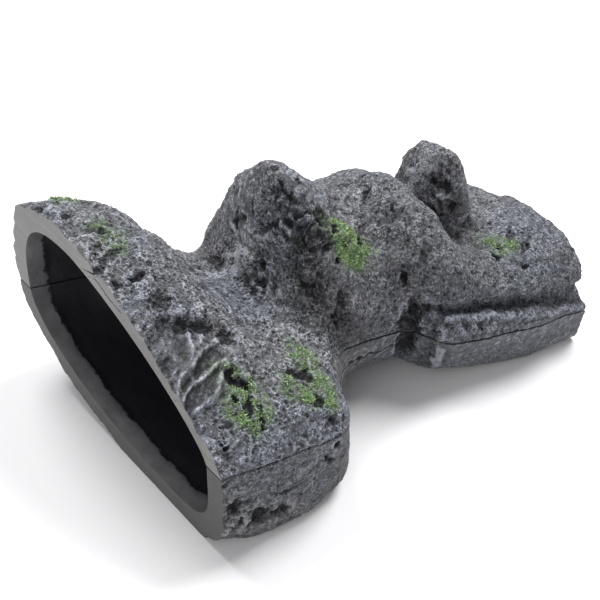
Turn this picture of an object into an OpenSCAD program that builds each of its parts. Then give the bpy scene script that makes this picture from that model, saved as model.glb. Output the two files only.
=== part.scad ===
// Rock cave ornament: a hollow tunnel cast as two half shells, bonded along a
// sloping joint, with flocked moss patches. X runs from the front mouth to the
// back mouth, Z is up, and the ground is Z = 0.

/* [Cave] */
// Length from the front mouth to the back mouth
cave_length = 164; // [140:1:190]
// Width across the front block
cave_width = 127; // [110:1:145]
// Height of the tallest hump
cave_height = 86; // [78:1:96]
// Wall thickness of the two castings
wall = 7.5; // [5:0.5:9]

/* [Joint] */
// Height of the joint at the front mouth
joint_front = 37; // [33:0.5:41]
// Height of the joint at the back mouth
joint_back = 16; // [14:0.5:19]
// Thickness of the adhesive in the joint
bond = 0.6; // [0.4:0.1:1]
// How far the adhesive stays back from the rock faces
bond_inset = 0.8; // [0.4:0.1:1.5]

/* [Rock surface] */
// Depth of the coarse rock relief
relief = 1.1; // [0:0.1:1.8]
// Depth of the groove along the back block
groove_depth = 5; // [0:0.5:6]

/* [Moss] */
// Height of the moss pads at their middle
moss_height = 1.8; // [1:0.1:3]
// Gap between a moss pad and the rock
moss_gap = 0.2; // [0.1:0.05:0.4]

/* [Hidden] */

upper_paint = [0.33, 0.34, 0.37];
lower_paint = [0.28, 0.29, 0.31];
adhesive = [0.08, 0.08, 0.09];
moss_green = [0.36, 0.55, 0.22];

// The shape below is drawn at these sizes, then stretched to the ones above.
drawn = [164, 127, 86];
stretch = [cave_length / drawn.x, cave_width / drawn.y, cave_height / drawn.z];
// The middle of the drawn shape's width, from the tunnel line.
middle_y = -0.175;

// Sections along the tunnel. Half widths are from the tunnel line, y = 0; near
// is -Y and far is +Y. Fullness 2 is an ellipse, less is flatter, more is squarer.
//  x   near far  crown_y crown_z  full_n full_f  keel_y keel_z  foot_n foot_f
sections = [
  [0,   60,  62,  22,     80,      1.38,  2.8,   -22,   -1,      4.5,   1.9],
  [14,  62,  60,  28,     79,      1.45,  2.3,   -20,   -4,      6.5,   2.0],
  [28,  63,  57,  26,     69.5,    1.7,   2.0,   -18,   -4,      8.0,   2.2],
  [40,  63,  50,  15,     54,      1.9,   1.8,   -12,   -4,      6.5,   2.4],
  [50,  60,  44,  7,      50,      1.9,   1.6,   -8,    -2,      5.0,   2.4],
  [57,  46,  42,  3,      53,      1.9,   1.4,   -4,    1,       3.6,   2.4],
  [63,  34,  41,  1,      76,      2.0,   1.35,  -4,    1,       3.6,   2.4],
  [70,  30,  42,  3,      86,      2.0,   1.65,  -2,    4,       3.0,   2.4],
  [79,  31,  45,  3,      79,      2.0,   1.6,   0,     5,       2.8,   2.4],
  [87,  32,  45,  1,      70,      2.0,   1.6,   0,     5,       2.8,   2.4],
  [94,  33,  46,  -2,     67,      2.0,   1.5,   0,     4,       2.8,   2.4],
  [100, 35,  47,  -4,     69,      2.0,   1.45,  0,     3,       2.8,   2.6],
  [104, 45,  47,  -5,     71,      2.1,   1.4,   0,     2,       3.2,   2.6],
  [112, 48,  46,  -7,     70.5,    2.1,   1.4,   -2,    0,       3.6,   2.8],
  [120, 50,  46,  -10,    57,      2.3,   1.6,   -2,    -2,      4.0,   2.8],
  [128, 52,  45,  -12,    50,      2.6,   1.6,   -2,    -3,      4.5,   3.0],
  [142, 55,  45,  -18,    45,      2.8,   1.5,   -4,    -3,      5.5,   3.0],
  [154, 56,  44,  -24,    45,      2.9,   1.4,   -6,    -3,      6.5,   3.0],
  [164, 57,  42,  -27,    44.5,    2.6,   1.3,   -6,    -3,      7.0,   3.0]];

// Knobs (height > 0) and hollows (height < 0) on the rock: x, angle round the
// section (0 near joint, 90 crown, 180 far joint, below the joint negative),
// reach along x, reach in angle, height.
knobs = [
  [129.5, 97, 7.5, 13, 31],
  [123, 70, 7, 12, -7],
  [58, 76, 5, 8, -3],
  [62, -40, 9, 36, 12]];

// --- smooth interpolation between the sections -------------------------------
function slope_at(i) =
  i == 0 || i == len(sections) - 1 ? 0 * sections[i]
  : (sections[i + 1] - sections[i - 1]) / (sections[i + 1][0] - sections[i - 1][0]);
function span_of(x, i = 0) =
  i == len(sections) - 2 || x < sections[i + 1][0] ? i : span_of(x, i + 1);
function blend_rows(i, step, u) =
  (2*u*u*u - 3*u*u + 1) * sections[i] + (u*u*u - 2*u*u + u) * step * slope_at(i)
  + (3*u*u - 2*u*u*u) * sections[i + 1] + (u*u*u - u*u) * step * slope_at(i + 1);
function section_in(x, i) =
  let (step = sections[i + 1][0] - sections[i][0])
  blend_rows(i, step, (x - sections[i][0]) / step);
function section(x) =
  let (xc = min(max(x, 0), drawn.x)) section_in(xc, span_of(xc));

function joint_z(x, part) =
  (joint_front + (joint_back - joint_front) * x / drawn.x + part * bond / 2) / stretch.z;

// --- rock relief --------------------------------------------------------------
function wave(a) = 4 * abs(a / 360 - floor(a / 360) - 0.5) - 1;
function bell(d) = exp(-d * d);
function bump(r) = exp(-r * r * r);
function ease(u) = let (c = min(max(u, 0), 1)) c * c * (3 - 2 * c);
function knob_sum(x, t) =
  [for (k = knobs) k[4] * bump(norm([(x - k[0]) / k[2], (t - k[1]) / k[3]]))]
  * [for (k = knobs) 1];

// Folds of the coarse relief: turn of phase per mm along, per degree round, start.
folds = [[8, 5, 0], [-3, 7, 90], [15, -11, 40], [9, 23, 0]];
fold_share = [0.6, 0.5];
function fold(k, x, t) = wave(folds[k][0] * x + folds[k][1] * t + folds[k][2]);
function coarse(x, t) =
  fold(0, x, t) * fold(1, x, t) + fold_share[0] * fold(2, x, t) + fold_share[1] * fold(3, x, t);

// The relief is weaker on the lower casting, and grows back above the joint.
lower_share = 0.55;
regrow = 40;
function calm(t) = t < 0 ? lower_share : min(1, lower_share + t / regrow);

// The ledge low on the near side of the back block, and the groove above it.
ledge_from = 100;
ledge_top = 12;
ledge_fall = 0.09;
ledge_bulge = 1.5;
ledge_lip = 2;
groove_up = 2;
groove_w = 2.5;
groove_run_in = 8;
function ledge_h(x) = ledge_top - ledge_fall * (x - ledge_from);
function groove(x, t, h) =
  t < 0 || t > 90 ? 0
  : let (over = h - ledge_h(x),
         run_in = ease((x - ledge_from + ledge_lip) / groove_run_in),
         slab = ledge_bulge * ease((ledge_lip / 2 - over) / ledge_lip))
    run_in * (slab - groove_depth * bell((over - groove_up) / groove_w));

// --- a point of the section at x, angle t, set in by the wall -------------------
function power(v, n) = pow(abs(v), 2 / n);
function section_point(s, zj, t, inset) =
  let (near = t > -90 && t < 90,
       n = t >= 0 ? (near ? s[5] : s[6]) : (near ? s[9] : s[10]),
       c = power(cos(t), n),
       h = power(sin(t), n),
       side = near ? -s[1] + inset : s[2] - inset,
       apex = t >= 0 ? [s[3], s[4] - inset] : [s[7], s[8] + inset])
  [apex.x + (side - apex.x) * c, zj + (apex.y - zj) * h];
function tunnel_mid(s) = (s[2] - s[1]) / 2;
function outer_raw(x, t, part, lift) =
  let (s = section(x),
       zj = joint_z(x, part),
       p = section_point(s, zj, t, 0),
       d = p - [tunnel_mid(s), zj],
       push = knob_sum(x, t) + relief * calm(t) * coarse(x, t) + groove(x, t, p.y - zj) + lift)
  p + d / norm(d) * push;
function outer(x, t, part, lift = 0) =
  let (p = outer_raw(x, t, part, lift)) [x, p.x, max(p.y, 0)];
// The inside takes the tightest section within this distance along the tunnel.
inner_reach = 5;
function inner_section(x) =
  let (a = section(x - inner_reach), b = section(x), c = section(x + inner_reach))
  [for (k = [0:len(b) - 1])
    k == 1 || k == 2 || k == 4 ? min(a[k], b[k], c[k]) : k == 8 ? max(a[k], b[k], c[k], 0) : b[k]];
function inner(x, t, part) =
  let (s = inner_section(x),
       zj = joint_z(x, part),
       p = section_point(s, zj, t, wall),
       d = p - [tunnel_mid(s), zj],
       q = p + d / norm(d) * min(knob_sum(x, t), 0))
  [x, q.x, q.y];

// The drawn shape, stretched to size, with the origin below its middle.
function placed(p) =
  [(p.x - drawn.x / 2) * stretch.x, (p.y - middle_y) * stretch.y, p.z * stretch.z];

// --- shell: outer grid, inner grid at half the density, sawn ends, joint faces ---
function strip(a, b, flip) =
  [for (k = [0:len(b) - 2])
    each [for (f = [[a[2*k], a[2*k + 1], b[k]], [a[2*k + 1], b[k + 1], b[k]],
                    [a[2*k + 1], a[2*k + 2], b[k + 1]]]) flip ? [f[2], f[1], f[0]] : f]];
function sheet(first, rows, cols, flip) =
  [for (i = [0:rows - 1], j = [0:cols - 1])
    let (a = first + i * (cols + 1) + j, b = a + 1, c = a + cols + 1, d = c + 1)
    each [for (f = [[a, c, b], [b, c, d]]) flip ? [f[2], f[1], f[0]] : f]];

module shell(rows, cols, from, to) {
  turn = to > from;
  part = turn ? 1 : -1;
  hr = rows / 2;
  hc = cols / 2;
  outside = [for (i = [0:rows], j = [0:cols])
    placed(outer(drawn.x * i / rows, from + (to - from) * j / cols, part))];
  inside = [for (i = [0:hr], j = [0:hc])
    placed(inner(drawn.x * i / hr, from + (to - from) * j / hc, part))];
  n = len(outside);
  faces = concat(
    sheet(0, rows, cols, turn),
    sheet(n, hr, hc, !turn),
    strip([for (j = [0:cols]) j], [for (j = [0:hc]) n + j], turn),
    strip([for (j = [0:cols]) rows * (cols + 1) + j], [for (j = [0:hc]) n + hr * (hc + 1) + j], !turn),
    strip([for (i = [0:rows]) i * (cols + 1)], [for (i = [0:hr]) n + i * (hc + 1)], !turn),
    strip([for (i = [0:rows]) i * (cols + 1) + cols], [for (i = [0:hr]) n + i * (hc + 1) + hc], turn));
  polyhedron(points = concat(outside, inside), faces = faces);
}

// --- adhesive strip along one side of the joint: t = 0 near, 180 far -------------
bond_steps = 44;
module bond_line(t) {
  out = t == 0 ? -1 : 1;
  ring = [for (i = [0:bond_steps])
    let (x = bond_inset + (drawn.x - 2 * bond_inset) * i / bond_steps,
         y_out = outer(x, t, 0).y - out * bond_inset,
         y_in = inner(x, t, 0).y + out * bond_inset)
    each [for (q = [[y_out, -1], [y_out, 1], [y_in, 1], [y_in, -1]])
      placed([x, q[0], joint_z(x, q[1])])]];
  last = 4 * bond_steps;
  sides = [for (i = [0:bond_steps - 1], k = [0:3])
    let (a = 4 * i + k, b = 4 * i + (k + 1) % 4)
    each [[a, b, a + 4], [b, b + 4, a + 4]]];
  ends = [[0, 3, 1], [1, 3, 2], [last, last + 1, last + 3], [last + 1, last + 2, last + 3]];
  all_faces = concat(sides, ends);
  polyhedron(points = ring,
    faces = out < 0 ? [for (f = all_faces) [f[2], f[1], f[0]]] : all_faces);
}

// --- moss pad: a low ragged cushion lying just off the rock ----------------------
moss_sides = 16;
// Share of the reach and share of the height, from the middle of the top round to
// the middle of the underside.
moss_profile = [[0, 1], [0.35, 0.96], [0.65, 0.8], [0.88, 0.5], [1, 0.2],
                [1, 0], [0.65, 0], [0.3, 0], [0, 0]];
// Lobes of the ragged outline: number round the pad, share of the radius.
lobes = [[3, 0.18], [5, 0.12]];
function ragged(a, turn) =
  1 + lobes[0][1] * sin(lobes[0][0] * a + turn) + lobes[1][1] * sin(lobes[1][0] * a + 2 * turn);
module moss_pad(x, t, reach_x, reach_t, turn) {
  n = moss_sides;
  rings = len(moss_profile) - 2;
  points = [for (q = moss_profile, j = [0:q[0] == 0 ? 0 : n - 1])
    let (a = 360 * j / n, r = q[0] * ragged(a, turn))
    placed(outer(x + reach_x * r * cos(a), t + reach_t * r * sin(a), 1, moss_gap + moss_height * q[1]))];
  foot = rings * n + 1;
  faces = [for (j = [0:n - 1]) let (k = (j + 1) % n)
    each concat([[0, 1 + k, 1 + j]],
      [for (i = [0:rings - 2])
        let (a = 1 + i * n + j, b = 1 + i * n + k)
        each [[a, b, a + n], [b, b + n, a + n]]],
      [[foot, foot - n + j, foot - n + k]])];
  color(moss_green) polyhedron(points = points, faces = faces);
}

module upper_shell() {
  color(upper_paint) shell(66, 44, 0, 180);
}

module lower_shell() {
  color(lower_paint) shell(54, 30, 0, -180);
}

module bond_line_near() {
  color(adhesive) bond_line(0);
}

module bond_line_far() {
  color(adhesive) bond_line(180);
}

module moss_rim_crest() moss_pad(12.5, 112, 5, 5.5, 20);
module moss_mouth_top() moss_pad(12.5, 76, 3.5, 5, 80);
module moss_flank_large() moss_pad(17.5, 29, 6, 10, 140);
module moss_flank_upper() moss_pad(47, 47, 3, 5.5, 200);
module moss_flank_middle() moss_pad(36, 31, 3.4, 6, 260);
module moss_flank_lower() moss_pad(45, 30, 4, 8, 320);
module moss_first_hump() moss_pad(81, 47, 8, 11, 30);
module moss_back_dome() moss_pad(139, 67, 4.5, 7, 90);
module moss_far_shoulder() moss_pad(30, 148, 7, 8, 150);
module moss_far_block() moss_pad(122, 146, 6, 9, 210);

upper_shell();
lower_shell();
bond_line_near();
bond_line_far();
moss_rim_crest();
moss_mouth_top();
moss_flank_large();
moss_flank_upper();
moss_flank_middle();
moss_flank_lower();
moss_first_hump();
moss_back_dome();
moss_far_shoulder();
moss_far_block();
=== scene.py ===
import math
import bpy
import numpy as np
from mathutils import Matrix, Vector
from mathutils.bvhtree import BVHTree


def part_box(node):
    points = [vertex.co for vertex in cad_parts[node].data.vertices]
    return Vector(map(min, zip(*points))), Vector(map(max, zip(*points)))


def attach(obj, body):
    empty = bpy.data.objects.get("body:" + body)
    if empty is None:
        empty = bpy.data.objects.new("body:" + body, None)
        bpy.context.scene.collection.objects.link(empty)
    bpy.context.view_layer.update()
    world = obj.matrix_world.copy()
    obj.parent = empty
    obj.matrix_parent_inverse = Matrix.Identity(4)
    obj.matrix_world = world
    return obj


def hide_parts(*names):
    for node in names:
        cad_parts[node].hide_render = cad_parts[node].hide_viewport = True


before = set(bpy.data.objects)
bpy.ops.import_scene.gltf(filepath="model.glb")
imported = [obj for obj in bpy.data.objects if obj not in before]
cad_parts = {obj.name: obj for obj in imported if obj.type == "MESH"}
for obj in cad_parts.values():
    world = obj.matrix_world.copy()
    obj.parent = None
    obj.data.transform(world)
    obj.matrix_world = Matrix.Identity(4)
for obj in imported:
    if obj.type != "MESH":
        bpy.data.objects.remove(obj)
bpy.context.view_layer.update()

# Everything is worked out in millimetres and written to the meshes in metres.
# A spot on the rock is named by its distance from the front mouth and by its
# angle round the tunnel: 0 is the near joint, 90 the top, 180 the far joint,
# and the lower half is negative.
MM = 1000.0          # millimetres to a metre
GAP = 0.3            # half the thickness of the adhesive in the joint
UPPER, LOWER = 1, -1  # the side of the joint that a casting lies on

low_u, high_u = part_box("upper_shell")
X0, X1 = low_u.x * MM, high_u.x * MM
# The joint slopes down from the front: the lower casting's top and the upper one's bottom.
Z_FRONT, Z_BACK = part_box("lower_shell")[1].z * MM + GAP, low_u.z * MM - GAP


def joint(x):
    """Height of the middle of the joint."""
    return Z_FRONT + (Z_BACK - Z_FRONT) * (x - X0) / (X1 - X0)


def ramp(v, a, b):
    """0 up to a, 1 from b on, with a smooth rise between."""
    u = np.clip((v - a) / (b - a), 0.0, 1.0)
    return u * u * (3.0 - 2.0 * u)


# --- noise ---
def mix_bits(i, seed):
    """A pseudo-random 32-bit number for each lattice point."""
    h = i[..., 0] * 374761393 + i[..., 1] * 668265263 + i[..., 2] * 1440662683
    h = (h + seed * 1274126177) & 0xFFFFFFFF
    h = ((h ^ (h >> 13)) * 1274126177) & 0xFFFFFFFF
    h = ((h ^ (h >> 15)) * 2246822519) & 0xFFFFFFFF
    return h ^ (h >> 16)


def bits3(h):
    """Three numbers from 0 to 1 out of one hash."""
    return np.stack([h & 1023, (h >> 10) & 1023, (h >> 20) & 1023], -1) / 1023.0


def noise(p, seed):
    """Gradient noise, about -1 to 1."""
    i = np.floor(p).astype(np.int64)
    f = p - i
    u = f * f * f * (f * (f * 6 - 15) + 10)
    out = np.zeros(len(p))
    for dx in (0, 1):
        wx = u[:, 0] if dx else 1 - u[:, 0]
        for dy in (0, 1):
            wy = u[:, 1] if dy else 1 - u[:, 1]
            for dz in (0, 1):
                wz = u[:, 2] if dz else 1 - u[:, 2]
                d = np.array([dx, dy, dz])
                g = bits3(mix_bits(i + d, seed)) * 2 - 1
                out += wx * wy * wz * ((f - d) * g).sum(1)
    return out * 1.6


def fbm(p, seed, octaves=3, gain=0.5):
    """Noise with finer octaves on top."""
    out, amp = 0.0, 1.0
    for k in range(octaves):
        out = out + amp * noise(p * 2.03 ** k + 17.3 * k, seed + k)
        amp *= gain
    return out


def ridged(p, seed, octaves=3, gain=0.5):
    """Noise folded at its zero lines, which become sharp crests."""
    out, amp = 0.0, 1.0
    for k in range(octaves):
        out = out + amp * (1 - 2.4 * np.abs(noise(p * 2.07 ** k + 9.1 * k, seed + k)))
        amp *= gain
    return out


def cells(p, seed):
    """Distances to the nearest and second nearest point of a jittered lattice."""
    i = np.floor(p).astype(np.int64)
    f = p - i
    first, second = np.full(len(p), 9.0), np.full(len(p), 9.0)
    for dx in (-1, 0, 1):
        for dy in (-1, 0, 1):
            for dz in (-1, 0, 1):
                d = np.array([dx, dy, dz])
                q = d + bits3(mix_bits(i + d, seed)) - f
                r = np.sqrt((q * q).sum(1))
                second = np.minimum(second, np.maximum(first, r))
                first = np.minimum(first, r)
    return first, second


def facets(p, size, seed, sharp=14.0):
    """Tilted flat facets, one for each point of a jittered lattice."""
    q = p / size
    i = np.floor(q).astype(np.int64)
    f = q - i
    dist, plane = [], []
    for dx in (-1, 0, 1):
        for dy in (-1, 0, 1):
            for dz in (-1, 0, 1):
                d = np.array([dx, dy, dz])
                h = mix_bits(i + d, seed)
                to = d + bits3(h) - f
                tilt = bits3(mix_bits(i + d, seed + 5)) * 2 - 1
                dist.append((to * to).sum(1))
                plane.append((to * tilt).sum(1) + 0.5 * tilt[:, 0])
    dist, plane = np.array(dist), np.array(plane)
    w = np.exp(-sharp * (dist - dist.min(0)))
    return (w * plane).sum(0) / w.sum(0)


# --- sampling the castings ---
def tree_of(node):
    """The CAD mesh of a node, for casting rays at."""
    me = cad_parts[node].data
    co = np.empty(len(me.vertices) * 3)
    me.vertices.foreach_get("co", co)
    me.calc_loop_triangles()
    return BVHTree.FromPolygons([Vector(c) for c in co.reshape(-1, 3) * MM],
                                [tuple(t.vertices) for t in me.loop_triangles])


def blurred(a, sigma, axis):
    """Gaussian blur along one axis that keeps the slope at the ends."""
    n = int(3 * sigma) + 1
    k = np.exp(-0.5 * (np.arange(-n, n + 1) / sigma) ** 2)
    k /= k.sum()
    pad = [(0, 0)] * a.ndim
    pad[axis] = (n, n)
    b = np.pad(a, pad, mode="reflect", reflect_type="odd")
    out = np.zeros_like(a)
    for j, w in enumerate(k):
        out += w * np.take(b, np.arange(j, j + a.shape[axis]), axis)
    return out


BESIDE, AROUND = 120.0, 130.0    # where rays start: beside the castings, and all round them
STATIONS, RAYS = 206, 300        # rays along the tunnel, and round each half of it


def middles(tree, side):
    """Middle of the tunnel at the joint, along x."""
    xs = np.linspace(X0, X1, 165)
    mid = []
    for x in xs:
        xr = min(max(x, X0 + 0.05), X1 - 0.05)
        z = joint(x) + side * (GAP + 0.05)
        near = tree.ray_cast(Vector((xr, -BESIDE, z)), Vector((0, 1, 0)))[0]
        far = tree.ray_cast(Vector((xr, BESIDE, z)), Vector((0, -1, 0)))[0]
        mid.append((near.y + far.y) / 2)
    return xs, blurred(np.array(mid), 3, 0)


tree_u, tree_l = tree_of("upper_shell"), tree_of("lower_shell")
MID_X, MID_Y = middles(tree_u, UPPER)


def mid_y(x):
    return np.interp(x, MID_X, MID_Y)


def radii(tree, xs, angles, outside):
    """Distances from the tunnel's middle to a casting's outer or inner face."""
    out = np.empty((len(xs), len(angles)))
    dirs = [Vector((0, -math.cos(a), math.sin(a))) for a in angles]
    for i, x in enumerate(xs):
        c = Vector((min(max(x, X0 + 0.03), X1 - 0.03), float(mid_y(x)), float(joint(x))))
        for j, d in enumerate(dirs):
            if outside:
                hit = tree.ray_cast(c + d * AROUND, -d)[0]
            else:
                hit = tree.ray_cast(c, d)[0]
            out[i, j] = (hit - c).length if hit is not None else np.nan
        bad = np.isnan(out[i])
        if bad.any():
            out[i, bad] = np.interp(np.flatnonzero(bad), np.flatnonzero(~bad), out[i, ~bad])
    return out


def base_grid(tree, side, n_x, n_t, outside):
    """The casting's smooth surface as a grid of points, about evenly spaced both ways."""
    xs = np.linspace(X0, X1, STATIONS)
    span = side * np.radians(np.linspace(0.6, 179.4, RAYS))
    r = radii(tree, xs, span, outside)
    r = blurred(blurred(r, 1.6, 0), 2.2, 1)
    r = np.concatenate([r[:, :1], r, r[:, -1:]], 1)
    span = np.concatenate([[0], span, [side * math.pi]])
    # stations spaced by the length of the surface along the tunnel, at each angle
    pace = np.sqrt(1 + np.gradient(r, xs, axis=0) ** 2)
    pace = blurred(blurred(pace, 1.5, 0), 14, 1)
    if not outside:
        mouth = np.minimum(xs - X0, X1 - xs)
        pace = pace * (1 + 2.2 * np.exp(-(mouth / 9) ** 2))[:, None]
    run = np.concatenate([np.zeros((1, r.shape[1])), np.cumsum((pace[1:] + pace[:-1]) / 2, 0)])
    run /= run[-1]
    even = np.linspace(0, 1, n_x)
    x = np.stack([np.interp(even, run[:, j], xs) for j in range(r.shape[1])], 1)
    rr = np.stack([np.interp(x[:, j], xs, r[:, j]) for j in range(r.shape[1])], 1)
    dense = np.stack([x, mid_y(x) - rr * np.cos(span), joint(x) + rr * np.sin(span)], 2)
    # a little denser on the near side than on the far side
    share = 1.25 - 0.5 * ramp(np.abs(np.degrees(span)), 100, 140) if outside else np.ones(len(span))
    grid = np.empty((n_x, n_t, 3))
    angle = np.empty((n_x, n_t))
    for i in range(n_x):
        step = np.linalg.norm(np.diff(dense[i], axis=0), axis=1) * (share[1:] + share[:-1]) / 2
        arc = np.concatenate([[0], np.cumsum(step)])
        at = np.linspace(0, arc[-1], n_t)
        for c in range(3):
            grid[i, :, c] = np.interp(at, arc, dense[i, :, c])
        angle[i] = np.interp(at, arc, span)
    grid[:, 0, 2], grid[:, -1, 2] = joint(grid[:, 0, 0]), joint(grid[:, -1, 0])
    if side == LOWER:
        grid[:, :, 2] = np.maximum(grid[:, :, 2], 0)
    return grid, np.degrees(angle)


def grid_normals(g, flip):
    """Normals of a grid of points, flipped where its rows run the other way round."""
    n = np.cross(np.gradient(g, axis=0), np.gradient(g, axis=1))
    n /= np.linalg.norm(n, axis=2, keepdims=True) + 1e-12
    return -n if flip else n


# --- places on the rock ---
class Surface:
    """Points of a casting, with their normals and their angles round the tunnel."""

    def __init__(self, points, normals, angles):
        self.g, self.n, self.angle = points, normals, angles
        self.x = points[:, 0] - X0

    def local(self, x, a, turn=0.0):
        """Millimetres from a place: along the tunnel, round it, and off the surface there."""
        k = np.argmin((self.x - x) ** 2 + (0.7 * (self.angle - a)) ** 2)
        here = self.n[k]
        along = np.array([1.0, 0, 0]) - here[0] * here
        along /= np.linalg.norm(along)
        around = np.cross(along, here)
        if around @ np.array([0, math.sin(math.radians(a)), math.cos(math.radians(a))]) <= 0:
            around = -around
        d = self.g - self.g[k]
        dx, ds = d @ along, d @ around
        c, s = math.cos(math.radians(turn)), math.sin(math.radians(turn))
        return dx * c + ds * s, -dx * s + ds * c, d @ here

    def spot(self, x, a, reach_x, reach_a, turn=0.0, warp=(0, 0), power=2.0):
        """1 at the place, falling to 0 at its reach; a higher power gives a sharper edge."""
        u, v, w = self.local(x, a, turn)
        u, v = (u + warp[0]) / reach_x, (v + warp[1]) / reach_a
        w = w / (3 + max(reach_x, reach_a))
        return np.exp(-np.power(u * u + v * v + w * w, power))


# Hollows and lumps: along, round, reach along, reach round, turn, height.
HEIGHTS = {
    UPPER: [
        # the sawn mouth and the recesses behind it
        (4, 86, 1.6, 2.2, 10, -3), (12, 87, 3.6, 1.5, 12, -1.8), (12, 69, 3.2, 3.4, 20, -1.6),
        (2, 96, 3.2, 1.3, 0, -1.6), (8, 100, 4.4, 1.2, 15, -1.4), (10, 112, 3.4, 1.6, 10, -1.6),
        (7, 80, 2.8, 2.6, 0, 1), (8, 74, 3, 1.6, 0, 0.8), (3, 104, 2.6, 2, 0, 0.7),
        (9, 57, 3, 2.4, -10, -1.4), (14, 54, 3.4, 2.4, -15, -2),
        (20, 51, 3.4, 2.6, -30, -2), (25, 44, 2.4, 3.2, -40, -1.8),
        (17, 61, 4, 1.6, -20, 0.9), (24, 55, 1.6, 3.6, -30, 0.7),
        # the near flank
        (40, 18, 2, 3.4, 20, -0.9), (43, 5, 1.6, 2.2, -10, -1.6), (47, 4, 1, 2.4, -30, -1.3),
        (9, 13, 1.6, 1.1, 0, -1), (5, 8, 0.9, 0.9, 0, -1.5), (8, 9, 2.4, 2, 0, 0.7),
        # the saddle
        (58, 84, 1.5, 1.8, 20, -2.2), (52, 90, 1.2, 2.8, 10, -1.8), (57, 67, 2.8, 1, 25, -1.4),
        (54, 74, 1.2, 1.1, 0, -1.1), (55, 95, 3.4, 1.4, 20, -0.8),
        # the first hump: a smooth left face with a cleft, a crest, and a broken face on the right
        (61, 112, 4.2, 1.3, -20, -2.6), (62, 92, 9, 1.6, -12, 1.2), (61, 85, 6, 1.3, -10, -1.6),
        (66, 74, 5, 5, 0, -0.9), (72, 65, 0.9, 3, 30, -1.5), (66, 62, 6, 6, 20, -0.9),
        (62, 73, 2.6, 0.8, 30, -1.1), (72, 55, 3, 0.9, 20, -1.4), (61, 66, 1, 1.6, -20, -1.2),
        (67, 83, 1, 1.4, 0, -1.2), (72, 79, 1.2, 0.8, 20, -1.2), (69, 88, 0.9, 1.8, 0, -1),
        (68, 71, 5, 0.6, -30, 0.9), (64, 60, 0.6, 5, 20, 0.9), (68, 58, 4, 0.6, -15, 0.8),
        (62, 54, 0.6, 4, 0, 0.7), (62, 40, 4, 6, 0, -0.9), (72, 31, 1.4, 3.4, 0, -1.2),
        (68, 22, 1.2, 3.4, 20, -1.2), (66, 33, 0.8, 5, 30, 0.7),
        # the middle and the second hump
        (99, 74, 5, 0.7, 30, -1.4), (102, 64, 2, 0.9, 45, -1.2), (99, 31, 0.9, 2.4, 0, -2.2),
        (91, 60, 2.4, 0.6, 25, -0.8), (94, 76, 3, 0.6, 40, -0.8), (124, 77, 1.1, 2.4, 10, -1.5),
        (126, 71, 1.1, 2.8, 0, -1.9), (127, 64, 1.4, 2, 0, -1.5), (122, 70, 1.4, 2.4, 0, -1.3),
        (137, 60, 4.4, 1.4, 35, -1.2), (147, 44, 5.2, 1.4, 45, -1.4),
        (147, 35, 3, 1, 30, -1.2), (141, 27, 0.9, 1.4, 0, -1.2), (150, 60, 6, 3.5, 10, 0.9),
        # the grooved block: a recess at its left end, then rough ledge and groove
        (98, 6, 3.4, 8, 0, -3.2), (101, 14, 3, 2.6, 0, -1.6), (104, 5, 1.8, 6, 0, 1.3),
        (112, 9, 1.4, 2.4, 20, -1.5), (117, 8, 1.6, 1.8, -10, -1.2), (133, 9, 1.2, 1.4, 0, -0.9),
        # the far side
        (28, 150, 2.6, 5, 25, -1.8), (52, 140, 2.2, 7, -20, -1.8), (88, 150, 2, 7, 15, -1.6),
        (118, 150, 2.2, 6, -30, -1.8), (146, 130, 2.2, 6, 10, -1.6), (70, 160, 2.6, 4, 0, -1.5),
        (1, 134, 3.4, 3, 0, -1.8), (3, 130, 2, 2.6, 0, 1.7), (6, 124, 1.6, 2.4, 0, -2.4),
        (1, 146, 3, 4, 0, 0.9), (100, 128, 5, 1.2, 20, -1.4), (40, 128, 5, 1.2, -20, -1.4),
        (74, 120, 5, 1.2, 15, -1.4), (135, 112, 1.2, 5, 20, -1.4)],
    LOWER: [
        (42, -4, 1.3, 1.3, 0, -3.2), (45, -2, 3, 0.6, 25, -1.3), (39, -8, 0.8, 3, 30, -1.5),
        (24, -14, 5.6, 0.6, -10, -1.1), (13, -19, 4.4, 3.2, 10, -3.3),
        (20, -21, 3.4, 2.4, 0, -2.8), (4, -13, 2.4, 3, 0, -2.6), (7, -17, 1.3, 4.5, 0, 1.3),
        (3, -19, 2, 2, 0, 1), (2, -2, 2.6, 0.9, 10, -1.4), (33, -9, 3, 0.6, 25, -0.8),
        (6, -6, 2.4, 2, 0, 0.7), (15, -15, 4, 1.2, 0, 0.7), (98, -9, 3, 9, 0, -3.2),
        (104, -10, 1.8, 8, 0, 1.3), (112, -14, 4, 0.7, 10, -0.9), (78, -11, 18, 0.5, 0, -0.9),
        (30, -160, 4, 3, 30, -1.8), (90, -158, 5, 2.4, -10, -1.4), (135, -162, 3, 3, 0, -1.6)]}
# Broken, angular ground: along, round, reach along, reach round, depth.
BROKEN = {
    UPPER: [
        (66, 76, 8, 8, 0.8), (70, 63, 8, 9, 0.8), (63, 50, 6, 8, 0.7), (70, 26, 7, 9, 0.8),
        (125, 71, 5, 8, 1.3), (97, 9, 5, 9, 1.3), (103, 5, 4, 6, 0.9), (20, 54, 8, 5, 1.2),
        (10, 84, 8, 6, 1.1), (7, 106, 7, 6, 1.1), (56, 76, 5, 8, 0.9), (3, 132, 5, 8, 1.2),
        (147, 42, 7, 6, 0.7), (44, 6, 4, 4, 0.9), (52, 140, 6, 10, 1.2), (118, 150, 6, 9, 1.1),
        (30, 150, 6, 8, 1.1)],
    LOWER: [
        (11, -17, 10, 7, 1.3), (99, -8, 4, 7, 1.1)]}
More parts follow.
